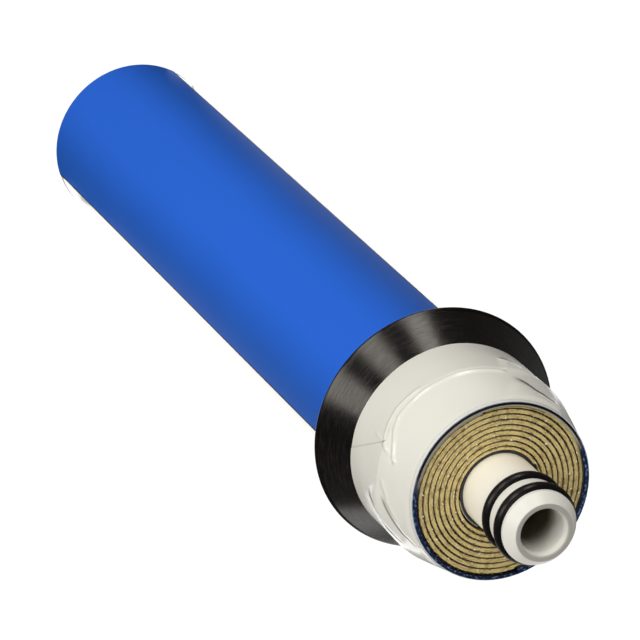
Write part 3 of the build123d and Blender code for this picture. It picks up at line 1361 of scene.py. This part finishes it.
@dataclass(frozen=True)
class CutEdge:
    """How a wound sheet's two cut edges look: how ragged they are and how their middle crowns."""

    ragged: float
    grain: float
    crown: float = 0.0
    rib_length: float = 0.0
    across_grain: float = 2.5
    fray: float = 1.6
    fray_grain: float = 0.55
    fray_level: float = 0.25

    def drop(self, spot: Vector, run: float, across: float, seed: float) -> float:
        """Finds how far the edge lies below the sheet's full height at a place.

        Args:
            spot: The place across the roll, in millimetres.
            run: Distance along the sheet, in millimetres.
            across: Place across the sheet's thickness, from 0 to 1.
            seed: Shift of the noise, so that no two edges are alike.

        Returns:
            The drop in millimetres, never less than 0.
        """
        rough = wobble(spot.x * self.grain, spot.y * self.grain, across * self.across_grain, seed)
        torn = wobble(spot.x * self.fray_grain, spot.y * self.fray_grain, 7.0, seed)
        fray = self.fray * max(0.0, torn - self.fray_level)
        drop = self.ragged * (0.5 + 0.5 * rough + fray)
        if across in (0.0, 1.0):
            drop += self.crown
        if self.rib_length:
            drop += 0.5 * self.crown * (1 + math.sin(2 * math.pi * run / self.rib_length))
        return drop


@dataclass
class WoundRoll:
    """The wound sheets, their film and the sleeve on the tube."""

    low: float = 0.6
    high: float = 253.4
    spacer_setback: float = 0.5
    inner_ply: float = 9.99
    outer_ply: float = 10.67
    ply_thickness: float = 0.19
    spacer_start: float = 10.19
    spacer_thickness: float = 0.47
    carrier_start: float = 10.87
    carrier_thickness: float = 0.45
    long_turns: float = 7.996
    short_turns: float = 7.496
    carrier_first: float = -0.7
    carrier_last: float = 7.376
    steps_per_turn: int = 170
    fold_steps: int = 12
    strand_seed: int = 5
    strand_gap: float = 1.2
    strand_spread: Point2 = (0.75, 1.3)
    strand_margin: float = 0.01
    strand_offset: Point2 = (0.05, 0.12)
    strand_radius: Point2 = (0.14, 0.21)
    strand_taper: float = 0.25
    strand_sides: int = 7
    strand_length: float = 0.55
    strand_shortfall: Point2 = (0.0, 0.22)
    strand_depth: float = 0.25
    strand_lean: Point2 = (-0.25, 0.25)
    bead_seed: int = 8
    bead_count: int = 150
    bead_turns: Point2 = (0.3, 7.3)
    bead_radius: Point2 = (0.1, 0.24)
    bead_sink: float = 0.06
    bead_length: Point2 = (0.8, 1.9)
    bead_width: Point2 = (0.7, 1.2)
    bead_height: float = 0.8
    ply_edge: CutEdge = CutEdge(0.14, 2.2)
    carrier_edge: CutEdge = CutEdge(0.16, 1.7, 0.09, 0.95)
    spacer_edge: CutEdge = CutEdge(0.2, 1.2)
    membrane: SheetFinish = SheetFinish(
        "membrane_sheet", (0.93, 0.76, 0.36), 0.5, stain=(0.13, 0.08, 0.02),
        fibre=(0.98, 0.93, 0.72), stain_share=0.7, stain_scale=780.0, fibre_share=0.3)
    carrier: SheetFinish = SheetFinish(
        "carrier_knit", (0.95, 0.76, 0.30), 0.5, stain=(0.50, 0.35, 0.12), fibre=(0.99, 0.93, 0.70))
    spacer: SheetFinish = SheetFinish(
        "spacer_net", (0.05, 0.029, 0.006), 0.5, stain=(0.008, 0.005, 0.002),
        fibre=(0.3, 0.2, 0.07), fibre_share=0.25)
    strand: SheetFinish = SheetFinish(
        "net_strand", (0.20, 0.13, 0.035), 0.35, stain=(0.05, 0.03, 0.008),
        fibre=(0.85, 0.72, 0.4), fibre_share=0.6, stain_scale=900.0)
    glue: SheetFinish = SheetFinish("glue_line", (0.40, 0.28, 0.10), 0.3)
    bead: SheetFinish = SheetFinish(
        "resin_bead", (0.97, 0.93, 0.78), 0.2, stain=(0.85, 0.7, 0.38), fibre=(1.0, 0.98, 0.9),
        stain_share=0.4)
    # The core knit's near-black is the wrap round the tube together with painted shade in the gap round
    # the tube.
    knit: SheetFinish = SheetFinish(
        "core_knit", (0.05, 0.05, 0.055), 0.7, stain=(0.01, 0.01, 0.012), fibre=(0.25, 0.25, 0.26))
    sleeve_tape: TapeFinish = TapeFinish("sleeve_tape", (0.45, 0.45, 0.43), 0.4)
    film: FilmFinish = FilmFinish("dark_film", (0.010, 0.028, 0.11), 0.3)
    tail_net: FilmFinish = FilmFinish("tail_net", (0.012, 0.030, 0.11), 0.4,
                                      fleck=(0.33, 0.45, 0.62))

    def ribbon(self, name: str, sides: Sides, setback: float, edge: CutEdge,
               seed: float) -> bpy.types.Object:
        """Stands a sheet between the roll's two ends, with its cut edges.

        Args:
            name: The piece's name.
            sides: The sheet's two faces at each place along it, in millimetres.
            setback: How far its edges lie inside the roll's ends.
            edge: The look of its cut edges.
            seed: Shift of their noise.

        Returns:
            The closed piece.
        """
        points = []
        run, last_middle = 0.0, (sides[0][0] + sides[0][1]) / 2
        for first, second in sides:
            middle = (first + second) / 2
            run += (middle - last_middle).length
            last_middle = middle
            for spot, across in ((first, 0.0), (middle, 0.5), (second, 1.0)):
                top = self.high - setback - edge.drop(spot, run, across, seed)
                points.append(Vector((spot.x, spot.y, top)) * MM)
            for spot, across in ((second, 1.0), (middle, 0.5), (first, 0.0)):
                foot = self.low + setback + edge.drop(spot, run, across, seed + 9)
                points.append(Vector((spot.x, spot.y, foot)) * MM)
        loop = len(points) // len(sides)
        faces = strip_faces(len(sides), loop, False)
        faces += [tuple(range(loop)), tuple(range(len(points) - loop, len(points)))]
        return make_piece(name, points, faces, THIN_SHARP_ANGLE)

    def wound(self, start: float, thickness: float, first: float, last: float) -> Sides:
        """Winds a sheet.

        Args:
            start: Radius of its inner face where the winding starts, in millimetres.
            thickness: Its thickness, in millimetres.
            first: Number of turns at which it starts.
            last: Number of turns at which it ends.

        Returns:
            Its two faces at each place along it.
        """
        inner, outer = Spiral(start), Spiral(start + thickness)
        steps = round(abs(last - first) * self.steps_per_turn)
        turns = [first + (last - first) * step / steps for step in range(steps + 1)]
        return [(inner.point(turn), outer.point(turn)) for turn in turns]

    def build_leaf(self) -> bpy.types.Object:
        """Builds the membrane: in along the inner ply, round the fold, out along the outer ply.

        Returns:
            The membrane.
        """
        inward = self.wound(self.inner_ply, self.ply_thickness, self.long_turns, 0.0)
        outward = [(far, near) for near, far in
                   self.wound(self.outer_ply, self.ply_thickness, 0.0, self.short_turns)]
        centre = (inward[-1][0] + outward[0][0]) / 2
        fold = []
        for step in range(1, self.fold_steps):
            turn = Matrix.Rotation(math.pi * step / self.fold_steps, 2)
            outside, inside = inward[-1][0] - centre, inward[-1][1] - centre
            outside.rotate(turn)
            inside.rotate(turn)
            fold.append((centre + outside, centre + inside))
        leaf = self.ribbon("membrane_plies", inward + fold + outward, 0.0, self.ply_edge, 1.0)
        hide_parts("membrane_leaf")
        self.membrane.dress(leaf)
        return leaf

    def build_carrier(self) -> bpy.types.Object:
        """Builds the knitted carrier, ribbed along its cut edges.

        Returns:
            The carrier.
        """
        sides = self.wound(self.carrier_start, self.carrier_thickness, self.carrier_first,
                           self.carrier_last)
        carrier = self.ribbon("carrier_knit_sheet", sides, 0.0, self.carrier_edge, 2.0)
        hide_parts("permeate_carrier")
        self.carrier.dress(carrier)
        return carrier

    def build_spacer(self) -> bpy.types.Object:
        """Builds the spacer's sheet, set back from the roll's ends.

        Returns:
            The spacer.
        """
        sides = self.wound(self.spacer_start, self.spacer_thickness, 0.0, self.long_turns)
        spacer = self.ribbon("spacer_net_sheet", sides, self.spacer_setback, self.spacer_edge, 3.0)
        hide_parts("feed_spacer")
        self.spacer.dress(spacer)
        return spacer

    def build_strands(self) -> bpy.types.Object:
        """Builds the cut ends of the net's strands, which stand in the gap between the plies.

        Returns:
            The strands' ends as one piece.
        """
        dice = random.Random(self.strand_seed)
        middle = Spiral(self.spacer_start + self.spacer_thickness / 2)
        shell = bmesh.new()
        turns, layer = self.strand_margin, 1
        while turns < self.long_turns - self.strand_margin:
            spot = middle.point(turns)
            spot = spot + spot.normalized() * layer * dice.uniform(*self.strand_offset)
            radius = dice.uniform(*self.strand_radius) * MM
            for end, rise in ((self.high, -1), (self.low, 1)):
                tall = self.strand_length - dice.uniform(*self.strand_shortfall)
                base = end + rise * (self.spacer_setback + self.strand_depth)
                place = Matrix.Translation(Vector((spot.x, spot.y, base - rise * tall / 2)) * MM)
                lean = Matrix.Rotation(dice.uniform(*self.strand_lean), 4, "X")
                bmesh.ops.create_cone(shell, cap_ends=True, segments=self.strand_sides,
                                      radius1=radius * (1 + self.strand_taper * rise),
                                      radius2=radius * (1 - self.strand_taper * rise),
                                      depth=tall * MM, matrix=place @ lean)
            step = self.strand_gap * dice.uniform(*self.strand_spread)
            turns += step / (2 * math.pi * spot.length)
            layer = -layer
        strands = add_piece("net_strand_ends", shell, THIN_SHARP_ANGLE)
        self.strand.dress(strands)
        return strands

    def build_beads(self) -> bpy.types.Object:
        """Builds the specks of hard resin, two of three on the front end and the rest on the rear.

        Returns:
            The specks as one piece.
        """
        dice = random.Random(self.bead_seed)
        shell = bmesh.new()
        for count in range(self.bead_count):
            turns = dice.uniform(*self.bead_turns)
            start = dice.choice((self.outer_ply, self.carrier_start, self.inner_ply))
            spot = Spiral(start).point(turns)
            radius = dice.uniform(*self.bead_radius) * MM
            end, rise = ((self.high, 1), (self.low, -1))[count % 3 == 2]
            centre = Vector((spot.x, spot.y, end - rise * self.bead_sink)) * MM
            length, width = dice.uniform(*self.bead_length), dice.uniform(*self.bead_width)
            squash = Matrix.Diagonal((length, width, self.bead_height, 1.0))
            turn = Matrix.Rotation(dice.uniform(0, math.pi), 4, "Z")
            bmesh.ops.create_icosphere(shell, subdivisions=2, radius=radius,
                                       matrix=Matrix.Translation(centre) @ turn @ squash)
        beads = add_piece("resin_beads", shell, THIN_SHARP_ANGLE)
        self.bead.dress(beads)
        return beads

    def build(self) -> list[bpy.types.Object]:
        """Builds every wound sheet that is made anew, in order."""
        return [self.build_leaf(), self.build_carrier(), self.build_spacer(),
                self.build_strands(), self.build_beads()]

    def dress(self, nodes: dict[str, bpy.types.Object]) -> None:
        """Finishes the wound pieces that stay as the solid model has them.

        Args:
            nodes: The solid model's pieces.
        """
        self.glue.dress(nodes["tail_glue"])
        self.knit.dress(nodes["core_knit"])
        self.sleeve_tape.dress(nodes["sleeve_tape"])
        self.film.dress(nodes["film_wrap"])
        self.tail_net.dress(nodes["tail_net"])


@dataclass
class Softbox:
    """A rectangular soft light that faces the axis from a bearing, a distance and a height.

    Its lengths are in metres, and aim_height is where on the axis it points. A radiance of 1
    shows as white in a perfect mirror.
    """

    name: str
    bearing: float
    distance: float
    rise: float
    width: float
    height: float
    radiance: float
    aim_height: float = 0.2
    in_gloss: bool = True

    def build(self) -> None:
        """Hangs the light, hidden from the camera."""
        data = bpy.data.lights.new(self.name, "AREA")
        data.shape = "RECTANGLE"
        data.size, data.size_y = self.width, self.height
        data.energy = self.radiance * math.pi * self.width * self.height
        lamp = bpy.data.objects.new(self.name, data)
        lamp.location = bearing_point(self.distance, self.bearing, self.rise)
        sight = Vector((0, 0, self.aim_height)) - lamp.location
        lamp.rotation_euler = sight.to_track_quat("-Z", "Y").to_euler()
        lamp.visible_camera = False
        lamp.visible_glossy = self.in_gloss
        bpy.context.scene.collection.objects.link(lamp)


@dataclass
class Studio:
    """Pale floor, white surround, soft lights and the camera.

    The four cards on the table aim far above the object, which makes them lie face up.
    """

    lens: float = 274.9
    sensor: float = 36.0
    camera_place: tuple[float, float, float] = (0.0, -0.6257, 1.1997)
    camera_right: tuple[float, float, float] = (-0.68895, 0.62415, 0.36850)
    camera_up: tuple[float, float, float] = (-0.72481, -0.59319, -0.35039)
    ambient: float = 0.26
    gloss_level: float = 0.025
    floor_size: float = 6.0
    floor_glow: float = 0.95
    floor_greys: tuple[Colour, Colour] = ((0.14, 0.14, 0.14), (0.16, 0.16, 0.16))
    floor_grain_scale: float = 40.0
    floor_roughness: float = 0.9
    lights: list[Softbox] = field(default_factory=lambda: [
        Softbox("strip_left", -47.5, 1.5, 0.45, 0.4, 0.9, 4.8),
        Softbox("strip_middle", -11.0, 1.5, 0.7, 0.47, 1.3, 3.95),
        Softbox("strip_right", 26.0, 1.5, 0.7, 0.62, 1.3, 3.75),
        Softbox("side_card", 100.0, 0.62, 0.2, 0.7, 0.4, 1.5, in_gloss=False),
        Softbox("low_card", 140.0, 0.42, 0.05, 0.42, 0.1, 1.1),
        Softbox("table_close", 0.0, 0.0045, 0.002, 0.052, 0.009, 1.3, aim_height=60.0),
        Softbox("table_near", 178.5, 0.085, 0.002, 0.27, 0.17, 1.3, aim_height=60.0),
        Softbox("table_side", 129.0, 0.238, 0.002, 0.1, 0.1, 1.3, aim_height=60.0),
        Softbox("table_far", 169.0, 0.335, 0.002, 0.16, 0.24, 0.9, aim_height=60.0),
        Softbox("rear_left", -150.0, 0.9, 0.36, 0.4, 0.3, 2.2),
        Softbox("rear_right", 150.0, 0.9, 0.36, 0.4, 0.3, 2.4),
        Softbox("overhead", 0.0, 0.3, 1.9, 0.9, 0.9, 0.95),
    ])

    def build_camera(self) -> None:
        """Sets the camera at the photograph's viewing angle."""
        data = bpy.data.cameras.new("camera")
        data.lens = self.lens
        data.sensor_width = self.sensor
        camera = bpy.data.objects.new("camera", data)
        right, up = Vector(self.camera_right).normalized(), Vector(self.camera_up)
        back = right.cross(up).normalized()
        up = back.cross(right)
        turn = Matrix((right, up, back)).transposed().to_4x4()
        camera.matrix_world = Matrix.Translation(self.camera_place) @ turn
        bpy.context.scene.collection.objects.link(camera)
        bpy.context.scene.camera = camera

    def build_world(self) -> None:
        """White surround for the camera, a dark one for gloss and a level ambient for the rest."""
        world = bpy.data.worlds.new("surround")
        world.use_nodes = True
        work = NodeWork(world.node_tree)
        background = work.tree.nodes["Background"]
        unseen = work.maths("MULTIPLY_ADD", work.ray(Ray.GLOSSY), self.gloss_level - self.ambient,
                            self.ambient)
        work.feed(background.inputs["Strength"], work.maths("MAXIMUM", work.seen(), unseen))
        work.feed(background.inputs["Color"], WHITE)
        bpy.context.scene.world = world

    def build_floor(self) -> None:
        """Lays a plain white floor that keeps the object's soft shadow."""
        half = self.floor_size / 2
        corners = [(-half, -half, 0), (half, -half, 0), (half, half, 0), (-half, half, 0)]
        mesh = bpy.data.meshes.new("floor")
        mesh.from_pydata(corners, [], [(0, 1, 2, 3)])
        floor = bpy.data.objects.new("floor", mesh)
        bpy.context.scene.collection.objects.link(floor)
        sketch = Sketch("floor_white")
        grain = sketch.noise(sketch.place, self.floor_grain_scale)
        sketch.set(
            base_color=sketch.mix(grain, *self.floor_greys),
            roughness=self.floor_roughness,
            emission_color=WHITE,
            emission_strength=sketch.times(sketch.seen(), self.floor_glow),
        )
        mesh.materials.append(sketch.material)

    def build(self) -> None:
        """Builds the whole studio."""
        bpy.context.scene.view_settings.view_transform = "Standard"
        self.build_camera()
        self.build_world()
        self.build_floor()
        for light in self.lights:
            light.build()


def main() -> None:
    """Builds the object's looks on its solid model and sets the studio."""
    logging.basicConfig(level=logging.INFO, format="%(message)s")
    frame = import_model()
    nodes = frame["nodes"]
    Studio().build()
    LOG.info("studio")
    tube = PermeateTube()
    tube.dress(tube.build(), nodes)
    LOG.info("permeate tube")
    roll = WoundRoll()
    for sheet in roll.build():
        LOG.info("wound roll: %s", sheet.name)
    roll.dress(nodes)
    tape = TapeWork()
    tape.dress(tape.build(), nodes)
    LOG.info("tape")
    label = BlueLabel()
    label.dress(label.build())
    LOG.info("label")
    seal = BrineSeal()
    seal.dress(seal.build())
    LOG.info("brine seal")


if __name__ == "__main__":
    main()
